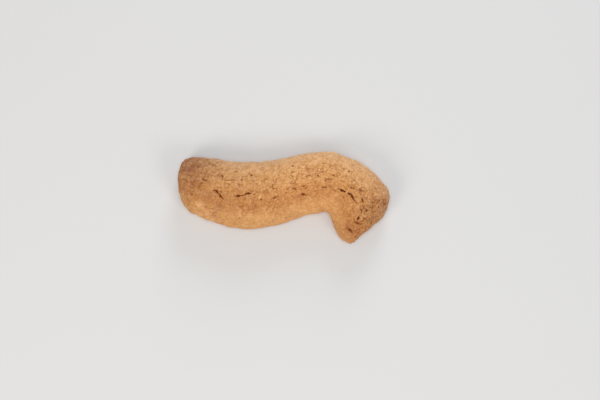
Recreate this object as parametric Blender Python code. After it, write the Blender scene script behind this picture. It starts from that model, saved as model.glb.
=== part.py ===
"""Hazelnut cookie: a hand-rolled finger of hazelnut dough, baked flat side down and folded into a short hook.

Metres, +Z up. The origin is the middle of the cookie's footprint, on the surface that it lies on.
The finger runs along X from its blunt end, sways gently, folds sharply at the notch and ends in the hook.
"""

import math
import random

import bmesh
import bpy
from mathutils import Vector, noise
from mathutils.bvhtree import BVHTree

MM = 0.001
UP = Vector((0, 0, 1))

# The crust's looks: the linear colour of golden-brown baked dough.
CRUST_COLOUR = (0.58, 0.28, 0.105, 1)
CRUST_ROUGHNESS = 0.9
SHARP_ANGLE = 50

# Slices across the finger, in millimetres, from the blunt end to the hook's cut end:
# x and y of the far edge, x and y of the near edge, and the height of the crown.
SLICES = (
    (-42.3, 10.6, -41.7, 0.9, 8.8),
    (-40.9, 14.5, -40.6, -2.9, 11.6),
    (-37.2, 16.2, -37.3, -6.4, 13.2),
    (-28.6, 15.8, -29.2, -9.8, 14.2),
    (-18.0, 14.3, -19.1, -12.2, 14.6),
    (-9.0, 14.1, -9.9, -12.0, 14.6),
    (0.4, 15.9, -0.9, -10.5, 14.4),
    (8.9, 17.5, 6.6, -7.7, 14.4),
    (17.8, 18.3, 12.5, -6.5, 14.6),
    (25.7, 15.4, 16.1, -5.8, 14.8),
    (32.9, 12.0, 18.0, -8.7, 14.5),
    (38.4, 6.9, 19.5, -12.2, 13.8),
    (41.5, 1.6, 21.2, -15.8, 12.8),
    (40.9, -3.5, 23.6, -17.8, 11.2),
    (38.9, -7.8, 26.0, -18.8, 8.6),
)

# The section: a domed top over flanks that tuck in under their widest level.
WIDEST_LEVEL = 4.2
WIDEST_LEVEL_SHARE = 0.4
UNDERCUT = 1.5
SHOULDER_POWER = 2.4
CROWN_POWER = 2.1
BULGE_OF_END_FACES = 0.5
ROWS_FOR_END_HEADING = 3
END_TUCK_REACH = 5.0
HOLLOW_OF_HOOK_END = 0.6
END_RINGS = ((0.95, 0.40), (0.82, 0.75), (0.60, 0.93), (0.32, 1.0))

# The mesh: its edges on the crust, and the points across one section.
EDGE = 1.03
POINTS_ACROSS = 42
ARC_STEPS = 60
FLANK_STEPS = 8

# Relief of the crust: wavelength and height of each layer of unevenness.
RELIEF = ((13.0, 0.45), (5.0, 0.34), (2.3, 0.34))
RELIEF_STARTS_AT = 0.6
RELIEF_FULL_AT = 2.4

# Chopped nuts that push the crust up: x, y, radius and height.
NUT_LUMP_FALLOFF = 2
NUT_LUMPS = (
    (-33.7, -3.9, 2.0, 0.80),
    (-17.4, -7.7, 1.7, 0.75),
    (-22.0, 4.6, 1.5, 0.40),
    (-9.8, -2.6, 1.2, 0.50),
    (3.6, -4.8, 1.6, 0.40),
    (22.8, 9.2, 1.6, 0.45),
    (36.2, 0.6, 1.8, 0.70),
    (30.9, -9.0, 1.4, 0.70),
)

# Cracks that opened as the crust set: width, depth, and the x and y of the points they run through.
CRACKS = (
    (1.0, 2.0, ((-28.4, 1.8), (-26.4, 1.7), (-25.5, 0.5), (-23.8, -1.6))),
    (1.0, 2.0, ((-19.4, -0.6), (-17.8, -0.3), (-16.2, -0.2), (-14.9, 0.5), (-13.6, 0.7), (-11.9, 0.7))),
    (0.8, 1.0, ((-5.0, -1.4), (-3.4, -0.9), (-1.8, -0.9))),
    (0.9, 1.4, ((6.3, 0.8), (7.4, 0.2), (8.7, -0.1))),
    (0.8, 1.1, ((6.0, 3.2), (7.4, 3.5), (8.8, 3.3))),
    (0.8, 1.1, ((13.9, 2.7), (15.3, 3.0), (16.8, 2.7))),
    (1.2, 2.2, ((20.4, 1.9), (21.8, 2.4), (22.5, 1.4), (23.9, 1.1))),
    (1.2, 2.2, ((24.4, 1.2), (25.4, 0.4), (26.3, -0.6), (27.4, -2.6))),
    (0.8, 1.2, ((28.8, 2.7), (29.9, 1.9), (31.2, 1.5))),
    (0.9, 1.5, ((29.7, -1.0), (30.3, -2.0), (30.7, -3.0))),
    (0.9, 1.5, ((29.3, -5.0), (29.8, -6.0), (30.1, -7.1))),
    (1.1, 1.8, ((29.8, -7.6), (28.8, -8.5), (28.2, -10.0))),
    (0.9, 1.4, ((36.0, -2.9), (36.8, -2.2), (37.7, -1.6))),
    (1.2, 1.7, ((24.1, -12.4), (25.0, -13.5), (26.5, -14.4))),
    (0.8, 1.0, ((26.7, -10.2), (28.2, -11.2), (30.2, -10.8))),
)
CRACK_STEP = 0.7
CRACK_ZIGZAG = 0.22
CRACK_STARTS_ABOVE = 0.9
CRACK_UNEVENNESS = (0.75, 1.1)
NARROWEST_SHARE = 0.12
SHALLOWEST_SHARE = 0.35

# Burst bubbles and crumbs that fell out: x, y and radius.
PITS = (
    (-38.6, -3.4, 0.55),
    (-36.8, 0.1, 0.55),
    (-32.9, 4.5, 0.55),
    (-32.2, 6.3, 0.60),
    (-28.6, -5.6, 0.50),
    (-24.7, 7.9, 0.60),
    (-22.2, 4.3, 0.50),
    (-19.2, 9.6, 0.55),
    (-13.2, 8.3, 0.70),
    (-9.0, -1.8, 0.60),
    (2.7, 11.9, 0.65),
    (4.2, 2.4, 0.65),
    (13.0, 7.7, 0.50),
    (14.3, 9.3, 0.50),
    (19.2, 8.0, 0.50),
    (25.2, 9.5, 0.60),
    (28.0, -16.2, 0.65),
    (30.3, -12.9, 0.60),
    (31.3, -9.4, 0.60),
    (32.1, -6.3, 0.75),
    (34.4, -2.8, 0.50),
    (34.5, -4.8, 0.55),
    (37.0, -4.6, 0.65),
    (39.3, -3.0, 0.80),
)
PIT_FLATNESS = 0.7
PIT_UNEVENNESS = (0.85, 1.15)

# A height above the whole crust, from which its points are found.
ABOVE_THE_CRUST = 30.0
SEED = 7


def catmull_rom(before, start, end, after, t):
    """The smooth curve through start and end, for numbers in parallel tuples."""
    return tuple(
        0.5 * (2 * b + (c - a) * t + (2 * a - 5 * b + 4 * c - d) * t * t + (3 * b - a - 3 * c + d) * t**3)
        for a, b, c, d in zip(before, start, end, after)
    )


def stations():
    """Slices at even steps along the finger, as many as the mesh's edge length asks for."""
    found = []
    for i in range(len(SLICES) - 1):
        before, start = SLICES[max(i - 1, 0)], SLICES[i]
        end, after = SLICES[i + 1], SLICES[min(i + 2, len(SLICES) - 1)]
        far_run = math.dist(start[:2], end[:2])
        near_run = math.dist(start[2:4], end[2:4])
        steps = max(2, round(max(far_run, near_run) / EDGE))
        found += [catmull_rom(before, start, end, after, step / steps) for step in range(steps)]
    return found + [SLICES[-1]]


def evenly(points, count):
    """The same line with count points at even spacing."""
    lengths = [0.0]
    for a, b in zip(points, points[1:]):
        lengths.append(lengths[-1] + (b - a).length)
    line = []
    k = 0
    for i in range(count):
        wanted = lengths[-1] * i / (count - 1)
        while k < len(points) - 2 and lengths[k + 1] < wanted:
            k += 1
        share = (wanted - lengths[k]) / (lengths[k + 1] - lengths[k])
        line.append(points[k].lerp(points[k + 1], min(1.0, share)))
    return line


def tuck(z, level):
    """How far a flank curves in at height z, under its widest level: a quarter of an ellipse."""
    below = max(0.0, 1 - z / level)
    return UNDERCUT * (1 - math.sqrt(1 - below * below))


def section(station):
    """The crust's line across one station, from the far base edge over the crown to the near base edge."""
    far_x, far_y, near_x, near_y, height = station
    far, near = Vector((far_x, far_y, 0)), Vector((near_x, near_y, 0))
    middle, half = (far + near) / 2, (far - near) / 2
    level = min(WIDEST_LEVEL, WIDEST_LEVEL_SHARE * height)
    outward = half.normalized()
    flank = [level * step / FLANK_STEPS for step in range(FLANK_STEPS + 1)]
    line = [far - outward * tuck(z, level) + UP * z for z in flank]
    for step in range(1, ARC_STEPS):
        angle = math.pi * step / ARC_STEPS
        across = math.copysign(abs(math.cos(angle)) ** (2 / SHOULDER_POWER), math.cos(angle))
        rise = math.sin(angle) ** (2 / CROWN_POWER)
        line.append(middle + half * across + UP * (level + (height - level) * rise))
    line += [near + outward * tuck(z, level) + UP * z for z in reversed(flank)]
    return evenly(line, POINTS_ACROSS)


def base_middle(row):
    return (row[0] + row[-1]) / 2


def close_end(rows, hollow=0.0):
    """Adds the rings of an end face after the last row, tucks its foot in, and bends it in between its corners."""
    end = rows[-1]
    middle = base_middle(end)
    half = (end[0] - end[-1]) / 2
    away = (middle - base_middle(rows[-1 - ROWS_FOR_END_HEADING])).normalized()
    rings = []
    for scale, bulge in END_RINGS:
        shift = away * (BULGE_OF_END_FACES * bulge)
        rings.append([middle + (point - middle) * scale + shift for point in end])
    closed = []
    for row in rows + rings:
        beyond = (base_middle(row) - middle).dot(away)
        share = min(1.0, max(0.0, 1 + beyond / END_TUCK_REACH))
        line = []
        for point in row:
            across = (point - middle).dot(half) / half.length_squared
            bend = hollow * max(0.0, 1 - across * across)
            line.append(point - away * (share * (tuck(point.z, WIDEST_LEVEL) + bend)))
        closed.append(line)
    return closed


def relief(point):
    """How far the crust stands out at a point, in millimetres."""
    height = sum(rise * noise.noise(point / wavelength) for wavelength, rise in RELIEF)
    for x, y, radius, rise in NUT_LUMPS:
        away = math.hypot(point.x - x, point.y - y) / radius
        if point.z > WIDEST_LEVEL:
            height += rise * math.exp(-NUT_LUMP_FALLOFF * away * away)
    fade = (point.z - RELIEF_STARTS_AT) / (RELIEF_FULL_AT - RELIEF_STARTS_AT)
    return height * min(1.0, max(0.0, fade))


def body_bmesh():
    """The cookie without its cracks: a loft over the stations, two end faces and a flat base."""
    sections = [section(station) for station in stations()]
    rows = close_end(close_end(sections, HOLLOW_OF_HOOK_END)[::-1])
    bm = bmesh.new()
    grid = [[bm.verts.new(point) for point in row] for row in rows]
    for row, following in zip(grid, grid[1:]):
        for j in range(POINTS_ACROSS - 1):
            bm.faces.new((row[j], row[j + 1], following[j + 1], following[j]))
    bm.faces.new(grid[0])
    bm.faces.new(reversed(grid[-1]))
    bm.faces.new([row[-1] for row in grid] + [row[0] for row in reversed(grid)])
    bmesh.ops.recalc_face_normals(bm, faces=bm.faces)
    bm.normal_update()
    shifts = [vertex.normal * relief(vertex.co) for vertex in bm.verts]
    for vertex, shift in zip(bm.verts, shifts):
        vertex.co += shift
    return bm


def footprint_middle(bm):
    """The middle of the box round the cookie, on the surface that it lies on."""
    across = [vertex.co.x for vertex in bm.verts]
    deep = [vertex.co.y for vertex in bm.verts]
    return Vector(((min(across) + max(across)) / 2, (min(deep) + max(deep)) / 2, 0))


def on_crust(crust, x, y):
    """The point of the crust above x, y."""
    return crust.ray_cast(Vector((x, y, ABOVE_THE_CRUST)), -UP)[0]


def crack_line(crust, path, draw):
    """A crack's line on the crust, in short steps that wander to either side."""
    line = []
    for start, end in zip(path, path[1:]):
        along = Vector((end[0] - start[0], end[1] - start[1]))
        side = Vector((-along.y, along.x)).normalized()
        steps = max(1, round(along.length / CRACK_STEP))
        for step in range(steps):
            wander = side * draw.uniform(-CRACK_ZIGZAG, CRACK_ZIGZAG)
            x, y = Vector(start) + along * (step / steps) + wander
            line.append(on_crust(crust, x, y))
    return line + [on_crust(crust, *path[-1])]


def crack_blade(crust, width, depth, path, draw):
    """A V-shaped blade along a crack, which narrows and rises to both ends."""
    line = crack_line(crust, path, draw)
    bm = bmesh.new()
    rings = []
    for i, point in enumerate(line):
        before, after = line[max(i - 1, 0)], line[min(i + 1, len(line) - 1)]
        side = (after - before).cross(UP).normalized()
        middling = 1 - abs(2 * i / (len(line) - 1) - 1)
        open_share = max(NARROWEST_SHARE, math.sqrt(middling) * draw.uniform(*CRACK_UNEVENNESS))
        reach = depth * max(SHALLOWEST_SHARE, open_share)
        half = side * (width / 2 * open_share * (1 + CRACK_STARTS_ABOVE / reach))
        top = point + UP * CRACK_STARTS_ABOVE
        rings.append([bm.verts.new(corner) for corner in (top + half, top - half, point - UP * reach)])
    for ring, following in zip(rings, rings[1:]):
        for j in range(3):
            k = (j + 1) % 3
            bm.faces.new((ring[j], ring[k], following[k], following[j]))
    bm.faces.new(rings[0])
    bm.faces.new(reversed(rings[-1]))
    bmesh.ops.recalc_face_normals(bm, faces=bm.faces)
    return bm


def pit_ball(crust, x, y, radius, draw):
    """A flattened ball on the crust, whose lower half makes a shallow pit."""
    bm = bmesh.new()
    bmesh.ops.create_icosphere(bm, subdivisions=1, radius=radius)
    for vertex in bm.verts:
        vertex.co *= draw.uniform(*PIT_UNEVENNESS)
        vertex.co.z *= PIT_FLATNESS
    bmesh.ops.translate(bm, vec=on_crust(crust, x, y), verts=bm.verts)
    return bm


def add_object(name, bm, middle, collection):
    """Turns a shape in millimetres round its own middle into an object in metres round the origin."""
    bmesh.ops.translate(bm, vec=-middle, verts=bm.verts)
    bmesh.ops.scale(bm, vec=(MM, MM, MM), verts=bm.verts)
    mesh = bpy.data.meshes.new(name)
    bm.to_mesh(mesh)
    bm.free()
    added = bpy.data.objects.new(name, mesh)
    collection.objects.link(added)
    return added


def add_collection(name):
    collection = bpy.data.collections.new(name)
    bpy.context.scene.collection.children.link(collection)
    return collection


def crust_material():
    """Matt golden-brown crust."""
    material = bpy.data.materials.new("baked_crust")
    material.use_nodes = True
    shader = material.node_tree.nodes["Principled BSDF"]
    shader.inputs["Base Color"].default_value = CRUST_COLOUR
    shader.inputs["Roughness"].default_value = CRUST_ROUGHNESS
    shader.inputs["Metallic"].default_value = 0.0
    return material


def main():
    for old in list(bpy.data.objects):
        bpy.data.objects.remove(old)
    parts = add_collection("hazelnut_cookie")
    cutters = add_collection("cracks_and_pits")
    draw = random.Random(SEED)

    body = body_bmesh()
    middle = footprint_middle(body)
    crust = BVHTree.FromBMesh(body)
    for i, (width, depth, path) in enumerate(CRACKS):
        add_object(f"crack_{i}", crack_blade(crust, width, depth, path, draw), middle, cutters)
    for i, (x, y, radius) in enumerate(PITS):
        add_object(f"pit_{i}", pit_ball(crust, x, y, radius, draw), middle, cutters)
    for cutter in cutters.objects:
        cutter.hide_render = True
        cutter.display_type = "WIRE"

    cookie = add_object("cookie", body, middle, parts)
    cookie.data.materials.append(crust_material())
    opened = cookie.modifiers.new("cracks and pits", "BOOLEAN")
    opened.operation = "DIFFERENCE"
    opened.operand_type = "COLLECTION"
    opened.collection = cutters
    opened.solver = "EXACT"
    cookie.data.shade_smooth()
    cookie.data.set_sharp_from_angle(angle=math.radians(SHARP_ANGLE))


main()
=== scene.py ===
"""Looks of the hazelnut cookie: a sandy golden crust with torn cracks, browned ends and flecks of nut.

The fine mesh is shaped in millimetres round the finger's own origin, and then put back in metres.
"""

import math
import random

import bpy
import numpy as np
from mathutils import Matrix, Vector, noise


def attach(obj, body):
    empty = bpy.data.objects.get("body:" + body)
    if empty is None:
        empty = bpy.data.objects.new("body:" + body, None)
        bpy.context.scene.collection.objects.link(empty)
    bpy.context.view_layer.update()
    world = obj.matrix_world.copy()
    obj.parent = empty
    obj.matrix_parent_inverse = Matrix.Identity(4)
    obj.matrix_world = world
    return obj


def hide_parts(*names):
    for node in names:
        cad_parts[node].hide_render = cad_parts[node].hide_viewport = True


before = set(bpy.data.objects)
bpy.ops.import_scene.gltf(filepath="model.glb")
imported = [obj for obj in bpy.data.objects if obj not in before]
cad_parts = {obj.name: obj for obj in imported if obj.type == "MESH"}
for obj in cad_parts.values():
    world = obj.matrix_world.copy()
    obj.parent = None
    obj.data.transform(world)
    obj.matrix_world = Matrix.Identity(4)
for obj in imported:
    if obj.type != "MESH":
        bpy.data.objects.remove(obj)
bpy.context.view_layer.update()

MM = 0.001
SEED = 11

# The fine mesh: its spacing, and the smoothing that takes the solid's facets away.
VOXEL = 0.29
FACET_ROUNDS = 10
FACET_SMOOTHING = 0.5

# Where the finger's own origin lies in the solid's frame.
FINGER_ORIGIN = np.array((0.6419, 0.0366, 0.0))

# The finger in plan, from the blunt end to the hook's cut end: as many points of its far as of its near edge.
FAR_EDGE = (
    (-42.3, 10.6), (-40.9, 14.5), (-37.2, 16.2), (-28.6, 15.8), (-18.0, 14.3),
    (-9.0, 14.1), (0.4, 15.9), (8.9, 17.5), (17.8, 18.3), (25.7, 15.4),
    (32.9, 12.0), (38.4, 6.9), (41.5, 1.6), (40.9, -3.5), (38.9, -7.8),
)
NEAR_EDGE = (
    (-41.7, 0.9), (-40.6, -2.9), (-37.3, -6.4), (-29.2, -9.8), (-19.1, -12.2),
    (-9.9, -12.0), (-0.9, -10.5), (6.6, -7.7), (12.5, -6.5), (16.1, -5.8),
    (18.0, -8.7), (19.5, -12.2), (21.2, -15.8), (23.6, -17.8), (26.0, -18.8),
)

# The torn cracks with their thin arms: width, depth, and the points that each runs through.
CRACKS = (
    (0.95, 1.9, ((-27.4, 2.0), (-26.2, 0.8), (-25.2, -0.3), (-24.1, -1.6))),
    (0.50, 0.8, ((-29.2, 1.8), (-26.8, 1.7))),
    (1.05, 1.8, ((-20.1, -0.7), (-18.7, -0.6), (-17.1, -0.2))),
    (0.50, 0.8, ((-17.7, -0.4), (-16.8, -0.2), (-15.7, 0.1))),
    (0.95, 1.7, ((-16.3, 0.1), (-14.9, 0.5), (-12.5, 0.7))),
    (0.55, 1.0, ((-5.0, -1.4), (-3.4, -0.9), (-1.8, -0.9))),
    (0.75, 1.2, ((6.3, 0.8), (7.4, 0.2), (8.7, -0.1))),
    (0.60, 0.9, ((6.0, 3.2), (7.4, 3.5), (8.8, 3.3))),
    (0.60, 0.9, ((13.9, 2.7), (15.3, 3.0), (16.8, 2.7))),
    (1.10, 2.0, ((20.4, 1.9), (21.8, 2.4), (22.5, 1.4), (23.9, 1.1))),
    (1.00, 2.0, ((24.4, 1.2), (25.4, 0.4), (26.3, -0.6), (27.4, -2.6))),
    (0.60, 1.0, ((28.8, 2.7), (29.9, 1.9), (31.2, 1.5))),
    (0.75, 1.3, ((29.7, -1.0), (30.3, -2.0), (30.7, -3.0))),
    (0.80, 1.4, ((29.3, -5.0), (29.8, -6.0), (30.1, -7.1))),
    (0.95, 1.7, ((29.8, -7.6), (28.8, -8.5), (28.2, -10.0))),
    (0.80, 1.3, ((36.0, -2.9), (36.8, -2.2), (37.7, -1.6))),
    (1.10, 1.6, ((24.1, -12.4), (25.0, -13.5), (26.5, -14.4))),
    (0.60, 0.9, ((26.7, -10.2), (28.2, -11.2), (30.2, -10.8))),
)

# Thin splits, which the solid doesn't have, in the same terms.
SPLITS = (
    (0.40, 0.5, ((-24.2, 6.4), (-21.5, 5.8), (-18.0, 6.3))),
    (0.45, 0.5, ((-12.8, 0.2), (-11.2, 0.3))),
    (0.40, 0.5, ((-5.0, 2.7), (-3.4, 2.6))),
    (0.40, 0.5, ((-3.5, 7.0), (-3.7, 4.8))),
    (0.45, 0.5, ((-1.1, 1.1), (0.6, 0.8), (2.3, 1.2))),
    (0.40, 0.4, ((-1.4, -8.4), (0.4, -8.6), (2.2, -8.3))),
    (0.50, 0.6, ((27.3, -2.3), (28.6, -3.7))),
    (0.50, 0.6, ((33.2, -2.8), (35.6, -2.9))),
    (0.45, 0.5, ((32.6, -4.8), (35.3, -4.6))),
    (0.42, 0.5, ((-18.2, 6.7), (-15.8, 7.3), (-14.2, 7.6))),
    (0.42, 0.5, ((-37.6, 4.2), (-35.6, 4.0), (-34.0, 3.2))),
    (0.38, 0.4, ((20.4, 3.9), (20.7, 2.6))),
    (0.42, 0.5, ((12.0, 8.2), (13.6, 8.8), (15.0, 9.5))),
    (0.40, 0.5, ((17.6, 10.3), (19.3, 10.4))),
    (0.48, 0.5, ((26.4, 6.2), (27.6, 5.8))),
    (0.48, 0.5, ((33.9, 0.8), (35.0, 0.5))),
)

# Burst bubbles and lost crumbs: x, y and radius.
PITS = (
    (-38.6, -3.4, 0.50), (-36.8, 0.1, 0.50), (-32.9, 4.5, 0.50), (-32.2, 6.3, 0.55), (-28.6, -5.6, 0.42),
    (-26.9, 1.7, 0.50), (-24.7, 7.9, 0.55), (-22.2, 4.3, 0.42), (-19.2, 9.6, 0.50), (-13.2, 8.3, 0.60),
    (-9.0, -1.8, 0.50), (2.7, 11.9, 0.60), (4.2, 2.4, 0.60), (13.0, 7.7, 0.45), (14.3, 9.3, 0.45),
    (19.2, 8.0, 0.45), (25.2, 9.5, 0.55), (28.0, -16.2, 0.60), (30.3, -12.9, 0.55), (31.3, -9.4, 0.55),
    (32.1, -6.3, 0.65), (34.4, -2.8, 0.42), (34.5, -4.8, 0.50), (37.0, -4.6, 0.60), (39.3, -3.0, 0.75),
)

# The solid's plain cuts are smoothed shut first: above a height, to a distance beyond their edges.
TOP_STARTS_AT = 2.5
CLOSED_BEYOND_CRACK = 0.8
CLOSED_BEYOND_PIT = 0.7 * CLOSED_BEYOND_CRACK
CLOSING_ROUNDS = 160
CLOSING_SMOOTHING = 0.6

# Hairlines: short broken splits that follow the finger, mostly along its ridge. Their places are shares of
# its width (least, most, usual) and of its length, and their turn out of its direction is in radians.
HAIRLINES = 44
HAIRLINE_ACROSS = (0.25, 0.92, 0.55)
HAIRLINE_ALONG = (0.08, 0.97)
HAIRLINE_LENGTH = (1.0, 3.8)
HAIRLINE_WIDTH = (0.30, 0.50)
HAIRLINE_DEPTH = (0.30, 0.60)
HAIRLINE_TURN = 0.40

# The finger's direction is taken between places this far before and behind, in steps of its edges.
DIRECTION_STEP = 0.2

# How far a tear strays to either side, at what steps, and the least number of its points.
CRACK_WANDER = 0.22
WANDER_STEP = 0.5
LEAST_POINTS = 4

# How much a tear's opening varies along it and from edge to edge, over which lengths, and within which shares
# of its width. Sides this far apart in the noise have nothing in common.
MEAN_OPENING = 0.85
PINCHING = 1.0
PINCH_LENGTH = 1.5
RAGGEDNESS = 0.75
RAG_LENGTH = 0.6
OPENING_RANGE = (0.08, 1.5)
SIDES_APART = 9

# A tear's section: its least half width, its depth where it is pinched, the share that its walls take up, and
# the lips beside it, which stand up by and spread over shares of its width.
LEAST_HALF_WIDTH = 0.02
PINCHED_DEPTH = 0.3
WALL_SHARE = 0.6
LIP_RISE = 0.14
LIP_SPREAD = 0.5
LIP_REACH = 1.6
TEARS_START_AT = 3.0

# A pit: its depth, how ragged its edge is and over which length, and its walls, all in shares of its radius.
PIT_DEPTH = 1.2
PIT_RAG_LENGTH = 0.8
PIT_RAGGEDNESS = 0.4
PIT_WALL_SHARE = 0.75
PIT_REACH = 2

# Small burst bubbles all over the crust, between the larger ones, and smaller where the crust is smooth.
SMALL_PITS = 420
SMALL_PIT_RADIUS = (0.22, 0.46)
SMALL_PIT_DEPTH = 0.9
SIZE_WHERE_SMOOTH = 0.6
SIZE_FROM_ROUGHNESS = 0.5
PITS_START_AT = 1.5

# Looking for the top of the crust, a millimetre away in plan weighs as much as this height.
ASIDE_WEIGHT = 100

# Places that browned more, in plan: x, y, radius and strength.
BROWNED = (
    (-38.5, 12.0, 5.5, 0.95),
    (-33.0, 13.5, 8.0, 0.30),
    (-42.0, 5.0, 3.5, 0.10),
    (38.5, 0.5, 6.0, 0.40),
    (38.8, -2.8, 2.2, 0.35),
    (36.0, -6.0, 5.0, 0.46),
    (20.8, -10.4, 3.6, 0.24),
    (33.0, -11.5, 5.5, 0.46),
    (25.2, -13.2, 2.2, 0.45),
    (25.6, -16.4, 4.0, 0.48),
    (-36.0, 4.0, 2.4, 0.30),
    (-25.6, -4.8, 1.4, 0.42),
    (-28.2, -7.4, 1.4, 0.38),
    (-12.6, -5.8, 1.3, 0.34),
    (-30.4, 0.4, 1.6, 0.25),
    (-1.0, -7.0, 5.5, 0.11),
)

# Chopped nuts close under the crust, which stay paler: x, y and radius, and how sharply they end.
NUT_LUMPS = (
    (-33.7, -3.9, 2.0), (-17.4, -7.7, 1.7), (-22.0, 4.6, 1.2), (-9.8, -1.0, 1.3), (-10.6, -3.0, 0.8),
    (3.6, -4.8, 1.6), (22.8, 9.2, 1.4), (36.2, 0.6, 1.8), (30.9, -9.0, 1.0), (-1.0, 3.6, 0.9),
    (20.0, 0.2, 1.1), (9.4, 5.6, 0.9), (-31.0, -7.2, 1.3), (27.6, 5.4, 0.9),
    (-34.4, -7.4, 2.2), (-29.4, -9.6, 2.4),
)
NUT_SHARPNESS = 2

# The crust's roughness: a start, and what the ridge, the far flank, browning and chance add or take away.
# The ridge and the far flank begin and end at shares of the finger's width.
ROUGH_START = 0.35
ROUGH_RIDGE = 0.65
ROUGH_FAR_FLANK = 0.45
ROUGH_BROWNED = 0.9
ROUGH_CHANCE = 0.35
ROUGH_LENGTH = 5.0
ROUGH_RANGE = (0.1, 1.5)
RIDGE_ACROSS = (0.08, 0.46)
RIDGE_STRAY = 0.16
RIDGE_LENGTH = 4.5
FAR_FLANK_ACROSS = (0.62, 0.9)

# Relief of the crust, in layers: wavelength and height of each.
LUMPS = ((3.4, 0.16), (1.7, 0.11), (0.85, 0.06))

# Crumb and clumps: their size, how they rise above one another, and the crevices between them. A crevice is
# this wide in shares of the size, and one between crumbs is shallower than one between clumps. A warp bends
# their straight sides, and the spread keeps the tones of neighbours apart.
CRUMB_SIZE = 0.80
CRUMB_RISE = 0.06
CLUMP_SIZE = 1.5
CLUMP_RISE = 0.07
CREVICE_WIDTH = 0.16
CREVICE_DEPTH = 0.11
CRUMB_CREVICE = 0.7
WARP = 0.25
WARP_LENGTH = 0.9
TONE_SPREAD = 31.7

# Gaps between clumps: their depth and the length of the noise that picks them. They open up between these
# values of the noise, of the clumps' borders and of the roughness.
GAP_DEPTH = 0.30
GAP_LENGTH = 1.9
GAP_FROM_NOISE = (0.10, 0.38)
GAP_FROM_BORDER = (0.45, 0.9)
GAP_FROM_ROUGHNESS = (0.55, 1.0)
GAPS_START_AT = 3.0

# The flat base stays smooth up to a height, and the relief grows to its full rise over the next stretch.
BASE_TOP = 0.35
RELIEF_GROWS_OVER = 1.2

# For the material: the depth at which the painted shade in a cut is darkest, how much painted shade a gap
# gets, and how high the rim reaches.
SHADE_DARKEST_DEPTH = 0.65
GAP_SHADE = 0.45
RIM_BOTTOM = 0.1
RIM_TOP = 3.4

# Where in the noise each use of it starts, so that none repeats another.
RIDGE_NOISE = 8.7
ROUGH_NOISE = 3.1
WARP_NOISE = 20.0
GAP_NOISE = 40.0
PIT_NOISE = 7.0
SMALL_PIT_NOISE = 11.0
LAYERS_APART = 5.0
CRACKS_APART = 3.0


def line_lengths(line):
    """How far along a line each of its points lies."""
    steps = np.linalg.norm(np.diff(line, axis=0), axis=1)
    return np.concatenate(([0.0], np.cumsum(steps)))


def at_even_steps(line, count):
    """count points evenly spaced along a line."""
    lengths = line_lengths(line)
    wanted = np.linspace(0, lengths[-1], count)
    return np.stack([np.interp(wanted, lengths, line[:, axis]) for axis in range(line.shape[1])], axis=1)


def nearest_on_line(points, line):
    """For each point: its distance to a line in plan, its side, and the share of the line's length there."""
    lengths = line_lengths(line)
    best = np.full(len(points), np.inf)
    side = np.zeros(len(points))
    share = np.zeros(len(points))
    for k in range(len(line) - 1):
        start, along = line[k], line[k + 1] - line[k]
        run = along @ along
        t = np.clip(((points - start) @ along) / run, 0, 1)
        away = points - start - t[:, None] * along
        distance = np.hypot(away[:, 0], away[:, 1])
        closer = distance < best
        best[closer] = distance[closer]
        side[closer] = np.sign(along[0] * away[closer, 1] - along[1] * away[closer, 0])
        share[closer] = (lengths[k] + t[closer] * math.sqrt(run)) / lengths[-1]
    return best, side, share


def away_in_plan(points, x, y):
    """How far each point lies from x, y in plan."""
    return np.hypot(points[:, 0] - x, points[:, 1] - y)


def smoothstep(low, high, values):
    """0 below low, 1 above high, and a smooth rise between them."""
    t = np.clip((values - low) / (high - low), 0, 1)
    return t * t * (3 - 2 * t)


def noise_at(points, wavelength, offset=0.0):
    """Smooth noise from -1 to 1 at each point."""
    shift = Vector((offset, -offset, offset * 0.5))
    return np.array([noise.noise(Vector(p) / wavelength + shift) for p in points])


def crumbs_at(points, size):
    """Crumbs of a size: 1 on their borders and 0 inside, and a number from -1 to 1 for each crumb."""
    border = np.empty(len(points))
    tone = np.empty(len(points))
    for i, p in enumerate(points):
        distances, centres = noise.voronoi(Vector(p) / size)
        border[i] = distances[1] - distances[0]
        tone[i] = noise.cell(centres[0] * TONE_SPREAD)
    return np.exp(-((border / CREVICE_WIDTH) ** 2)), tone


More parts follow.
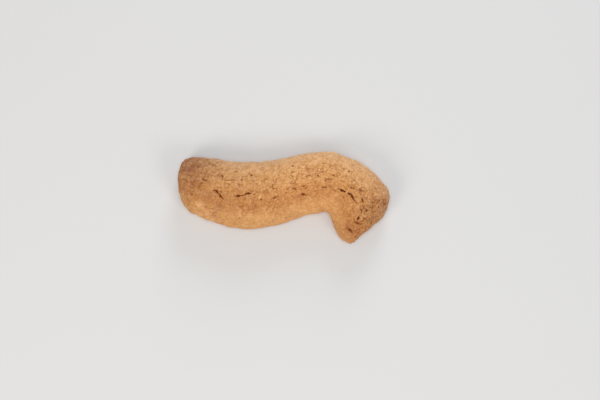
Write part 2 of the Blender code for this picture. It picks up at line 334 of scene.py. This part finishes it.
class Crust:
    """The cookie's fine mesh as arrays, in millimetres."""

    def __init__(self, node):
        self.piece = bpy.data.objects.new("cookie_crust", node.data.copy())
        bpy.context.scene.collection.objects.link(self.piece)
        remesh = self.piece.modifiers.new("fine mesh", "REMESH")
        remesh.mode = "VOXEL"
        remesh.voxel_size = VOXEL * MM
        depsgraph = bpy.context.evaluated_depsgraph_get()
        fine = bpy.data.meshes.new_from_object(self.piece.evaluated_get(depsgraph))
        self.piece.modifiers.clear()
        self.piece.data = fine
        fine.name = "cookie_crust"
        self.mesh = fine
        self.count = len(fine.vertices)
        flat = np.empty(self.count * 3, np.float32)
        fine.vertices.foreach_get("co", flat)
        self.points = flat.reshape(-1, 3).astype(float) / MM - FINGER_ORIGIN
        ends = np.empty(len(fine.edges) * 2, np.int32)
        fine.edges.foreach_get("vertices", ends)
        self.edges = ends.reshape(-1, 2)

    def smooth(self, rounds, amount, chosen=None):
        """Moves points towards the middle of their neighbours, all of them or only the chosen ones."""
        edges = self.edges
        if chosen is not None:
            edges = edges[chosen[edges[:, 0]] | chosen[edges[:, 1]]]
        a, b = edges.T
        degree = np.bincount(np.concatenate((a, b)), minlength=self.count)
        moving = degree > 0
        if chosen is not None:
            moving &= chosen
        for _ in range(rounds):
            total = np.empty_like(self.points)
            for axis in range(3):
                column = self.points[:, axis]
                total[:, axis] = np.bincount(a, column[b], self.count) + np.bincount(b, column[a], self.count)
            middle = total[moving] / degree[moving, None]
            self.points[moving] += (middle - self.points[moving]) * amount

    def store(self):
        """Puts the points into the mesh, in metres."""
        placed = (self.points + FINGER_ORIGIN) * MM
        self.mesh.vertices.foreach_set("co", placed.astype(np.float32).ravel())
        self.mesh.update()

    def normals(self):
        self.store()
        flat = np.empty(self.count * 3, np.float32)
        self.mesh.vertices.foreach_get("normal", flat)
        return flat.reshape(-1, 3).astype(float)

    def write(self, name, values):
        """Keeps a number for each point, for the material."""
        attribute = self.mesh.attributes.new(name, "FLOAT", "POINT")
        attribute.data.foreach_set("value", np.asarray(values, np.float32))


def wandering(path, draw):
    """A path as a line of short steps that strays a little to either side."""
    line = np.array(path, float)
    count = max(LEAST_POINTS, round(line_lengths(line)[-1] / WANDER_STEP))
    line = at_even_steps(line, count)
    along = np.gradient(line, axis=0)
    side = np.stack((-along[:, 1], along[:, 0]), axis=1) / np.linalg.norm(along, axis=1)[:, None]
    stray = np.array([draw.uniform(-CRACK_WANDER, CRACK_WANDER) for _ in line])
    stray[0] = stray[-1] = 0
    return line + side * stray[:, None]


def plan_place(along, across):
    """The point in plan at shares of the finger's length and width, and the finger's direction there."""
    far, near = np.array(FAR_EDGE), np.array(NEAR_EDGE)
    index = along * (len(far) - 1)
    steps = np.arange(len(far))

    def place(at):
        return np.array([
            np.interp(at, steps, near[:, axis]) * (1 - across) + np.interp(at, steps, far[:, axis]) * across
            for axis in range(2)
        ])

    ahead = place(index + DIRECTION_STEP) - place(index - DIRECTION_STEP)
    return place(index), ahead / np.linalg.norm(ahead)


def hairline_paths(draw):
    """The hairlines: width, depth and the two ends of each."""
    paths = []
    for _ in range(HAIRLINES):
        across = draw.triangular(*HAIRLINE_ACROSS)
        middle, ahead = plan_place(draw.uniform(*HAIRLINE_ALONG), across)
        turn = draw.gauss(0, HAIRLINE_TURN)
        direction = np.array((
            ahead[0] * math.cos(turn) - ahead[1] * math.sin(turn),
            ahead[0] * math.sin(turn) + ahead[1] * math.cos(turn),
        ))
        half = direction * draw.uniform(*HAIRLINE_LENGTH) / 2
        width = draw.uniform(*HAIRLINE_WIDTH)
        depth = draw.uniform(*HAIRLINE_DEPTH)
        paths.append((width, depth, (middle - half, middle + half)))
    return paths


def crack_cut(points, line, width, depth, offset):
    """How deep a crack cuts at each point, and how far its lips stand up."""
    cut = np.zeros(len(points))
    lip = np.zeros(len(points))
    reach = width / 2 + LIP_REACH
    low, high = line.min(axis=0) - reach, line.max(axis=0) + reach
    boxed = ((points[:, :2] > low) & (points[:, :2] < high)).all(axis=1)
    near = np.flatnonzero(boxed & (points[:, 2] > TEARS_START_AT))
    away, side, share = nearest_on_line(points[near, :2], line)
    taper = np.sqrt(np.clip(1 - np.abs(2 * share - 1), 0, 1))
    run = share * line_lengths(line)[-1]
    middle_places = np.stack((run, 0 * run, np.full(len(near), -offset)), axis=1)
    edge_places = np.stack((run, side * SIDES_APART, np.full(len(near), offset)), axis=1)
    pinch = noise_at(middle_places, PINCH_LENGTH)
    rag = noise_at(edge_places, RAG_LENGTH)
    opening = np.clip(MEAN_OPENING + PINCHING * pinch + RAGGEDNESS * rag, *OPENING_RANGE)
    half = width / 2 * taper * opening + LEAST_HALF_WIDTH
    inside = np.clip(1 - away / half, 0, 1)
    cut[near] = depth * taper * np.clip(opening, PINCHED_DEPTH, 1) * smoothstep(0, WALL_SHARE, inside)
    fall_off = np.exp(-(((away - half) / (LIP_SPREAD * width)) ** 2))
    lip[near] = LIP_RISE * width * taper * fall_off * (away >= half)
    return cut, lip


def pit_cut(points, centre, radius, depth, offset):
    """How deep a ragged round pit cuts at each point."""
    cut = np.zeros(len(points))
    from_centre = points - centre
    near = np.flatnonzero(np.abs(from_centre).max(axis=1) < PIT_REACH * radius)
    away = np.linalg.norm(from_centre[near], axis=1)
    ragged = noise_at(points[near] + offset, PIT_RAG_LENGTH * radius)
    inside = np.clip(1 - away / (radius * (1 + PIT_RAGGEDNESS * ragged)), 0, 1)
    cut[near] = depth * smoothstep(0, PIT_WALL_SHARE, inside)
    return cut


def top_at(points, x, y):
    """The crust's point above x, y."""
    aside = np.maximum(away_in_plan(points, x, y) - VOXEL, 0)
    return points[np.argmax(points[:, 2] - ASIDE_WEIGHT * aside)]


def close_cuts(crust):
    """Smooths the solid's plain cracks and pits shut."""
    plan = crust.points[:, :2]
    on_top = crust.points[:, 2] > TOP_STARTS_AT
    cut_region = np.zeros(crust.count, bool)
    for width, _, path in CRACKS:
        away = nearest_on_line(plan, np.array(path, float))[0]
        cut_region |= on_top & (away < width / 2 + CLOSED_BEYOND_CRACK)
    for x, y, radius in PITS:
        cut_region |= on_top & (away_in_plan(plan, x, y) < radius + CLOSED_BEYOND_PIT)
    crust.smooth(CLOSING_ROUNDS, CLOSING_SMOOTHING, cut_region)


def finger_shares(plan):
    """Each point's share of the finger's width, from its near edge, and of the finger's length."""
    far_away, _, far_along = nearest_on_line(plan, np.array(FAR_EDGE))
    near_away, _, near_along = nearest_on_line(plan, np.array(NEAR_EDGE))
    across = near_away / (near_away + far_away)
    return across, near_along * (1 - across) + far_along * across


def browned_at(points):
    """How much more the crust browned at each point."""
    browned = np.zeros(len(points))
    for x, y, radius, strength in BROWNED:
        browned += strength * np.exp(-((away_in_plan(points, x, y) / radius) ** 2))
    return browned


def nut_at(points):
    """How much of a chopped nut shows through at each point."""
    nut = np.zeros(len(points))
    for x, y, radius in NUT_LUMPS:
        nut = np.maximum(nut, np.exp(-NUT_SHARPNESS * (away_in_plan(points, x, y) / radius) ** 2))
    return nut


def roughness_at(points, across, browned):
    """How rough the crust is at each point."""
    stray = RIDGE_STRAY * noise_at(points, RIDGE_LENGTH, RIDGE_NOISE)
    ridge = smoothstep(*RIDGE_ACROSS, across + stray)
    far_flank = smoothstep(*FAR_FLANK_ACROSS, across)
    rough = ROUGH_START + ROUGH_RIDGE * ridge - ROUGH_FAR_FLANK * far_flank + ROUGH_BROWNED * browned
    rough += ROUGH_CHANCE * noise_at(points, ROUGH_LENGTH, ROUGH_NOISE)
    return np.clip(rough, *ROUGH_RANGE)


def crumb_relief(points, rough):
    """The crust's relief: its height, its crevices and gaps, and how light its crumbs are."""
    height = np.zeros(len(points))
    for k, (wavelength, rise) in enumerate(LUMPS):
        height += rise * noise_at(points, wavelength, LAYERS_APART * k)
    warp = np.stack([noise_at(points, WARP_LENGTH, WARP_NOISE + k) for k in range(3)], axis=1)
    warped = points + WARP * warp
    crumb_border, crumb_tone = crumbs_at(warped, CRUMB_SIZE)
    clump_border, clump_tone = crumbs_at(warped, CLUMP_SIZE)
    crevice = np.maximum(CRUMB_CREVICE * crumb_border, clump_border) * rough
    height += (CRUMB_RISE * crumb_tone + CLUMP_RISE * clump_tone) * rough - CREVICE_DEPTH * crevice
    gap = smoothstep(*GAP_FROM_NOISE, noise_at(points, GAP_LENGTH, GAP_NOISE))
    gap *= smoothstep(*GAP_FROM_BORDER, clump_border)
    gap *= smoothstep(*GAP_FROM_ROUGHNESS, rough) * (points[:, 2] > GAPS_START_AT)
    height -= GAP_DEPTH * gap
    return height, crevice, gap, crumb_tone + clump_tone


def torn_cuts(points, rough):
    """How deep all cracks, splits, hairlines and pits cut at each point, and how far the lips stand up."""
    draw = random.Random(SEED)
    torn = [(width, depth, wandering(path, draw)) for width, depth, path in CRACKS]
    thin = list(SPLITS) + hairline_paths(draw)
    torn += [(width, depth, wandering(path, draw)) for width, depth, path in thin]
    cut = np.zeros(len(points))
    lip = np.zeros(len(points))
    for k, (width, depth, line) in enumerate(torn):
        one_cut, one_lip = crack_cut(points, line, width, depth, CRACKS_APART * k)
        cut = np.maximum(cut, one_cut)
        lip = np.maximum(lip, one_lip)
    for x, y, radius in PITS:
        pit = pit_cut(points, top_at(points, x, y), radius, PIT_DEPTH * radius, PIT_NOISE)
        cut = np.maximum(cut, pit)
    crust_points = np.flatnonzero(points[:, 2] > PITS_START_AT)
    for _ in range(SMALL_PITS):
        chosen = crust_points[draw.randrange(len(crust_points))]
        size = min(1.0, SIZE_WHERE_SMOOTH + SIZE_FROM_ROUGHNESS * rough[chosen])
        radius = draw.uniform(*SMALL_PIT_RADIUS) * size
        pit = pit_cut(points, points[chosen], radius, SMALL_PIT_DEPTH * radius, SMALL_PIT_NOISE)
        cut = np.maximum(cut, pit)
    return cut, lip


def shape_crust(crust):
    """Closes the solid's plain cuts, then tears them open again with ragged edges, and adds the crumb."""
    crust.smooth(FACET_ROUNDS, FACET_SMOOTHING)
    close_cuts(crust)
    points = crust.points
    normals = crust.normals()
    across, along = finger_shares(points[:, :2])
    above_base = smoothstep(BASE_TOP, BASE_TOP + RELIEF_GROWS_OVER, points[:, 2])
    browned = browned_at(points)
    rough = roughness_at(points, across, browned)
    height, crevice, gap, tone = crumb_relief(points, rough)
    cut, lip = torn_cuts(points, rough)

    height = height * above_base + lip * (cut == 0) - cut
    crust.points = points + normals * height[:, None]
    crust.points[:, 2] = np.maximum(crust.points[:, 2], 0)
    crust.store()

    crust.write("across", across)
    crust.write("along", along)
    # Painted shade that deepens with the depth of cracks, splits and pits, and in the gaps between clumps.
    crust.write("cut", np.clip(cut / SHADE_DARKEST_DEPTH + GAP_SHADE * gap, 0, 1))
    crust.write("browned", np.clip(browned, 0, 1) * above_base)
    crust.write("rough", np.clip(rough, 0, 1))
    crust.write("rim", 1 - smoothstep(RIM_BOTTOM, RIM_TOP, points[:, 2]))
    # Painted shade in the crevices between crumbs.
    crust.write("crevice", crevice * above_base)
    crust.write("nut", nut_at(points) * above_base)
    crust.write("crumb", 0.5 + 0.25 * tone)


# The crust's colours across the finger, from the near flank over the ridge to the far flank, and how far
# noise shifts them. They are browner below the ridge, and the near flank is lighter partly from painted
# light.
COLOURS_ACROSS = (
    (0.00, (0.780, 0.410, 0.158)),
    (0.14, (0.765, 0.388, 0.142)),
    (0.27, (0.645, 0.284, 0.093)),
    (0.40, (0.695, 0.318, 0.105)),
    (0.54, (0.760, 0.380, 0.138)),
    (0.78, (0.805, 0.432, 0.180)),
    (1.00, (0.850, 0.503, 0.254)),
)
ACROSS_STRAY = 0.22

# What changes along the finger, from the blunt end to the hook's end: how light the crust is, partly its own
# tone and partly painted shade that darkens it towards the blunt end, its colour where it browned more, and
# how much it blushes.
TONE_AND_SHADE_ALONG = (
    (0.00, 0.82), (0.12, 0.85), (0.28, 0.90), (0.48, 0.965),
    (0.57, 1.0), (0.70, 1.0), (0.82, 0.965), (1.00, 0.96),
)
BROWN_ALONG = ((0.3, (0.35, 0.150, 0.076)), (0.7, (0.41, 0.153, 0.048)))
BLUSH_ALONG = ((0.0, 0.42), (0.22, 0.42), (0.42, 0.16), (0.8, 0.18), (1.0, 0.42))

# Noises of the material: wavelength in millimetres, detail and roughness.
STRAY_NOISE = (3.0, 2.0, 0.55)
PATCH_NOISE = (3.0, 3.0, 0.55)
BLUSH_NOISE = (2.1, 3.0, 0.60)
MOTTLE_NOISE = (1.1, 3.0, 0.65)
GRAIN_NOISE = (0.55, 2.0, 0.55)
BUMP_NOISE = (0.34, 4.0, 0.65)
SHINE_NOISE = (1.3, 3.0, 0.55)

# Ramps over the noises: how strong patches and blushes are, and how rough the surface is, at two values.
PATCHES = ((0.30, 0.45), (0.62, 1.0))
BLUSHES = ((0.50, 0.0), (0.63, 1.0))
SHINE = ((0.3, 0.78), (0.7, 0.95))

# Colours that lie over the crust's own, and how much of each shows. The crevice colour is painted shade in
# the crevices, and the cut colour is a dark red-brown that also serves as painted shade deep in cracks, pits
# and gaps.
BLUSH_COLOUR = (0.44, 0.195, 0.105)
RIM_COLOUR = (0.42, 0.190, 0.070)
RIM_SHARE = 0.60
NUT_COLOUR = (0.90, 0.50, 0.215)
NUT_SHARE = 0.50
CREVICE_SHADE_COLOUR = (0.30, 0.110, 0.032)
CREVICE_SHADE_SHARE = 0.32
CUT_COLOUR_AND_SHADE = (0.34, 0.098, 0.018)

# Light and dark crumb: the shares of crumbs, mottle and grain in its tone, the middle of their sum, how far
# it swings on a smooth crust and how much further on a rough one, and its darkest and lightest tints.
CRUMB_TONE = 0.42
MOTTLE_TONE = 0.90
GRAIN_TONE = 0.85
MIDDLE_TONE = 1.085
SMOOTH_SWING = 0.55
ROUGH_SWING = 0.40
DARK_TINT = (0.62, 0.45, 0.13)
LIGHT_TINT = (1.34, 1.52, 1.91)

# Flecks of skin and of nut: size of their cells, share of the cells that hold one, how much shows, colour.
# Then the size of the largest in cells, how sharply they end, and the noise that bends their outlines.
FLECKS = (
    (1.7, 0.24, 0.50, (0.26, 0.100, 0.040)),
    (2.6, 0.16, 0.35, (0.90, 0.62, 0.34)),
)
FLECK_SIZE = 0.32
FLECK_SHARPNESS = 9.0
FLECK_STRAY_SCALE = 1.4
FLECK_STRAY_DETAIL = 2.0

# The finest grain, as a bump: its strength, and its height in metres.
BUMP_STRENGTH = 0.60
BUMP_RISE = 0.00012

# How strongly the crust shines.
CRUST_SHEEN = 0.22


def add_node(tree, kind, settings=None, **inputs):
    """A shader node with its settings and its inputs, linked or not, by position as _0, _1, or by name."""
    node = tree.nodes.new(kind)
    for name, value in (settings or {}).items():
        setattr(node, name, value)
    for name, value in inputs.items():
        key = int(name[1:]) if name.startswith("_") else name.replace("_", " ")
        if isinstance(value, bpy.types.NodeSocket):
            tree.links.new(value, node.inputs[key])
        else:
            node.inputs[key].default_value = value
    return node


def ramp(tree, value, stops):
    """A colour ramp over a value, with stops of place and grey level or colour."""
    node = tree.nodes.new("ShaderNodeValToRGB")
    tree.links.new(value, node.inputs["Fac"])
    elements = node.color_ramp.elements
    while len(elements) < len(stops):
        elements.new(1.0)
    for element, (place, colour) in zip(elements, stops):
        element.position = place
        element.color = (*colour, 1) if isinstance(colour, tuple) else (colour, colour, colour, 1)
    return node.outputs["Color"]


def noise_node(tree, place, kind):
    """Noise of a kind: wavelength in millimetres, detail and roughness."""
    wavelength, detail, roughness = kind
    node = add_node(
        tree, "ShaderNodeTexNoise", Vector=place, Scale=1 / wavelength, Detail=detail, Roughness=roughness
    )
    return node.outputs["Fac"]


def mix(tree, share, first, second, blend="MIX"):
    """A share of the second colour over the first."""
    node = add_node(tree, "ShaderNodeMix", {"data_type": "RGBA", "blend_type": blend, "clamp_factor": True})
    for socket, value in ((node.inputs[0], share), (node.inputs[6], first), (node.inputs[7], second)):
        if isinstance(value, bpy.types.NodeSocket):
            tree.links.new(value, socket)
        elif isinstance(value, tuple):
            socket.default_value = (*value, 1)
        else:
            socket.default_value = value
    return node.outputs[2]


def math_node(tree, operation, first, second, clamp=False):
    node = add_node(tree, "ShaderNodeMath", {"operation": operation, "use_clamp": clamp}, _0=first, _1=second)
    return node.outputs[0]


def times(tree, first, second):
    return math_node(tree, "MULTIPLY", first, second)


def attribute(tree, name):
    """A number that the fine mesh keeps for each of its points."""
    return add_node(tree, "ShaderNodeAttribute", {"attribute_name": name}).outputs["Fac"]


def flecks(tree, place, cell, share):
    """A mask of roundish bits: one in a share of the cells, each of its own size."""
    bits = add_node(tree, "ShaderNodeTexVoronoi", Vector=place, Scale=1 / cell)
    pick = add_node(tree, "ShaderNodeSeparateColor", Color=bits.outputs["Color"])
    chosen = math_node(tree, "LESS_THAN", pick.outputs[0], share)
    edge = times(tree, pick.outputs[1], FLECK_SIZE)
    inside = math_node(tree, "SUBTRACT", edge, bits.outputs["Distance"])
    soft = math_node(tree, "MULTIPLY", inside, FLECK_SHARPNESS, clamp=True)
    return times(tree, soft, chosen)


def crumb_tint(tree, place):
    """The tint of light and dark crumb, which swings further where the crust is rough."""
    crumb = times(tree, attribute(tree, "crumb"), CRUMB_TONE)
    mottle = times(tree, noise_node(tree, place, MOTTLE_NOISE), MOTTLE_TONE)
    grain = times(tree, noise_node(tree, place, GRAIN_NOISE), GRAIN_TONE)
    tone = math_node(tree, "ADD", math_node(tree, "ADD", crumb, mottle), grain)
    swing = math_node(tree, "ADD", times(tree, attribute(tree, "rough"), ROUGH_SWING), SMOOTH_SWING)
    tone = times(tree, math_node(tree, "SUBTRACT", tone, MIDDLE_TONE), swing)
    tone = math_node(tree, "ADD", tone, 0.5, clamp=True)
    return mix(tree, tone, DARK_TINT, LIGHT_TINT)


def crust_material():
    """Baked hazelnut dough: sandy and matt, browner at the ends, with flecks of nut and skin, with painted
    shade towards the blunt end and in its crevices and cuts.
    """
    material = bpy.data.materials.new("baked_crust")
    material.use_nodes = True
    tree = material.node_tree
    shader = tree.nodes["Principled BSDF"]
    coords = add_node(tree, "ShaderNodeTexCoord").outputs["Object"]
    scaled = add_node(tree, "ShaderNodeVectorMath", {"operation": "SCALE"}, _0=coords, Scale=1 / MM)
    place = scaled.outputs["Vector"]
    along = attribute(tree, "along")

    stray = math_node(tree, "SUBTRACT", noise_node(tree, place, STRAY_NOISE), 0.5)
    across = math_node(tree, "ADD", attribute(tree, "across"), times(tree, stray, ACROSS_STRAY))
    colour = ramp(tree, across, COLOURS_ACROSS)
    # Painted shade towards the blunt end, over the crust's own tone along the finger.
    colour = mix(tree, 1.0, colour, ramp(tree, along, TONE_AND_SHADE_ALONG), "MULTIPLY")

    patches = ramp(tree, noise_node(tree, place, PATCH_NOISE), PATCHES)
    browned = times(tree, attribute(tree, "browned"), patches)
    colour = mix(tree, browned, colour, ramp(tree, along, BROWN_ALONG))
    blushes = ramp(tree, noise_node(tree, place, BLUSH_NOISE), BLUSHES)
    colour = mix(tree, times(tree, blushes, ramp(tree, along, BLUSH_ALONG)), colour, BLUSH_COLOUR)
    rim = times(tree, attribute(tree, "rim"), patches)
    colour = mix(tree, times(tree, rim, RIM_SHARE), colour, RIM_COLOUR)
    colour = mix(tree, times(tree, attribute(tree, "nut"), NUT_SHARE), colour, NUT_COLOUR)
    colour = mix(tree, 1.0, colour, crumb_tint(tree, place), "MULTIPLY")

    stray = add_node(
        tree, "ShaderNodeTexNoise", Vector=place, Scale=FLECK_STRAY_SCALE, Detail=FLECK_STRAY_DETAIL
    ).outputs["Color"]
    strayed = add_node(tree, "ShaderNodeVectorMath", {"operation": "ADD"}, _0=place, _1=stray)
    for cell, cells_share, shown, fleck_colour in FLECKS:
        mask = flecks(tree, strayed.outputs["Vector"], cell, cells_share)
        colour = mix(tree, times(tree, mask, shown), colour, fleck_colour)

    # Painted shade in the crevices between crumbs.
    crevice = times(tree, attribute(tree, "crevice"), CREVICE_SHADE_SHARE)
    colour = mix(tree, crevice, colour, CREVICE_SHADE_COLOUR)
    # A dark red-brown, laid on more deeply in cracks, pits and gaps as painted shade.
    colour = mix(tree, attribute(tree, "cut"), colour, CUT_COLOUR_AND_SHADE)
    tree.links.new(colour, shader.inputs["Base Color"])

    bump_height = noise_node(tree, place, BUMP_NOISE)
    bump = add_node(tree, "ShaderNodeBump", Strength=BUMP_STRENGTH, Distance=BUMP_RISE, Height=bump_height)
    tree.links.new(bump.outputs["Normal"], shader.inputs["Normal"])
    tree.links.new(ramp(tree, noise_node(tree, place, SHINE_NOISE), SHINE), shader.inputs["Roughness"])
    shader.inputs["Specular IOR Level"].default_value = CRUST_SHEEN
    return material


# The studio: a pale table under soft lights, and an even glow.
FLOOR_COLOUR = (0.735, 0.741, 0.755, 1)
FLOOR_ROUGHNESS = 0.9
FLOOR_SHEEN = 0.1
FLOOR_SIZE = 3.0
LIGHT_DISTANCE = 0.80
LIGHT_SIZE = 0.32
LIGHTS = (
    # name, azimuth, elevation, light that it sends to the table in W/m2, colour
    ("overhead", 0, 86, 1.10, (0.78, 0.90, 1.00)),
    ("front_left", -45, 38, 0.60, (1.00, 0.88, 0.76)),
    ("front_right", 45, 38, 0.37, (1.00, 0.98, 0.94)),
    ("back", 168, 23, 0.43, (0.94, 0.98, 1.00)),
)
GLOW = 1.13
GLOW_COLOUR = (1.00, 0.90, 0.80, 1)

# The camera looks almost straight down, from a little in front.
VIEW_ELEVATION = 84
VIEW_DISTANCE = 0.400
VIEW_TARGET = Vector((0.0065, -0.0009, 0.0040))
LENS = 60


def direction(azimuth, elevation):
    """The direction from the middle towards an azimuth, which is 0 in front, and an elevation, in degrees."""
    a, e = math.radians(azimuth), math.radians(elevation)
    return Vector((math.sin(a) * math.cos(e), -math.cos(a) * math.cos(e), math.sin(e)))


def aim(thing, target):
    thing.rotation_mode = "QUATERNION"
    thing.rotation_quaternion = (target - thing.location).to_track_quat("-Z", "Y")


def add_studio():
    """The table, the lights, the glow and the camera."""
    scene = bpy.context.scene
    bpy.ops.mesh.primitive_plane_add(size=FLOOR_SIZE)
    floor = bpy.context.object
    floor.name = "table"
    paint = bpy.data.materials.new("table")
    paint.use_nodes = True
    shader = paint.node_tree.nodes["Principled BSDF"]
    shader.inputs["Base Color"].default_value = FLOOR_COLOUR
    shader.inputs["Roughness"].default_value = FLOOR_ROUGHNESS
    shader.inputs["Specular IOR Level"].default_value = FLOOR_SHEEN
    floor.data.materials.append(paint)

    for name, azimuth, elevation, strength, colour in LIGHTS:
        lamp = bpy.data.lights.new(name, "AREA")
        lamp.energy = strength * math.pi * LIGHT_DISTANCE**2 / math.sin(math.radians(elevation))
        lamp.color = colour
        lamp.size = LIGHT_SIZE
        light = bpy.data.objects.new(name, lamp)
        light.location = direction(azimuth, elevation) * LIGHT_DISTANCE
        aim(light, Vector())
        scene.collection.objects.link(light)

    world = bpy.data.worlds.new("glow")
    world.use_nodes = True
    background = world.node_tree.nodes["Background"]
    background.inputs["Color"].default_value = GLOW_COLOUR
    background.inputs["Strength"].default_value = GLOW / math.pi
    scene.world = world

    lens = bpy.data.cameras.new("camera")
    lens.lens = LENS
    camera = bpy.data.objects.new("camera", lens)
    camera.location = VIEW_TARGET + direction(0, VIEW_ELEVATION) * VIEW_DISTANCE
    aim(camera, VIEW_TARGET)
    scene.collection.objects.link(camera)
    scene.camera = camera
    scene.view_settings.view_transform = "Standard"


add_studio()
cookie = Crust(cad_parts["cookie"])
shape_crust(cookie)
cookie.mesh.materials.clear()
cookie.mesh.materials.append(crust_material())
cookie.mesh.shade_smooth()
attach(cookie.piece, "root")
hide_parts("cookie")
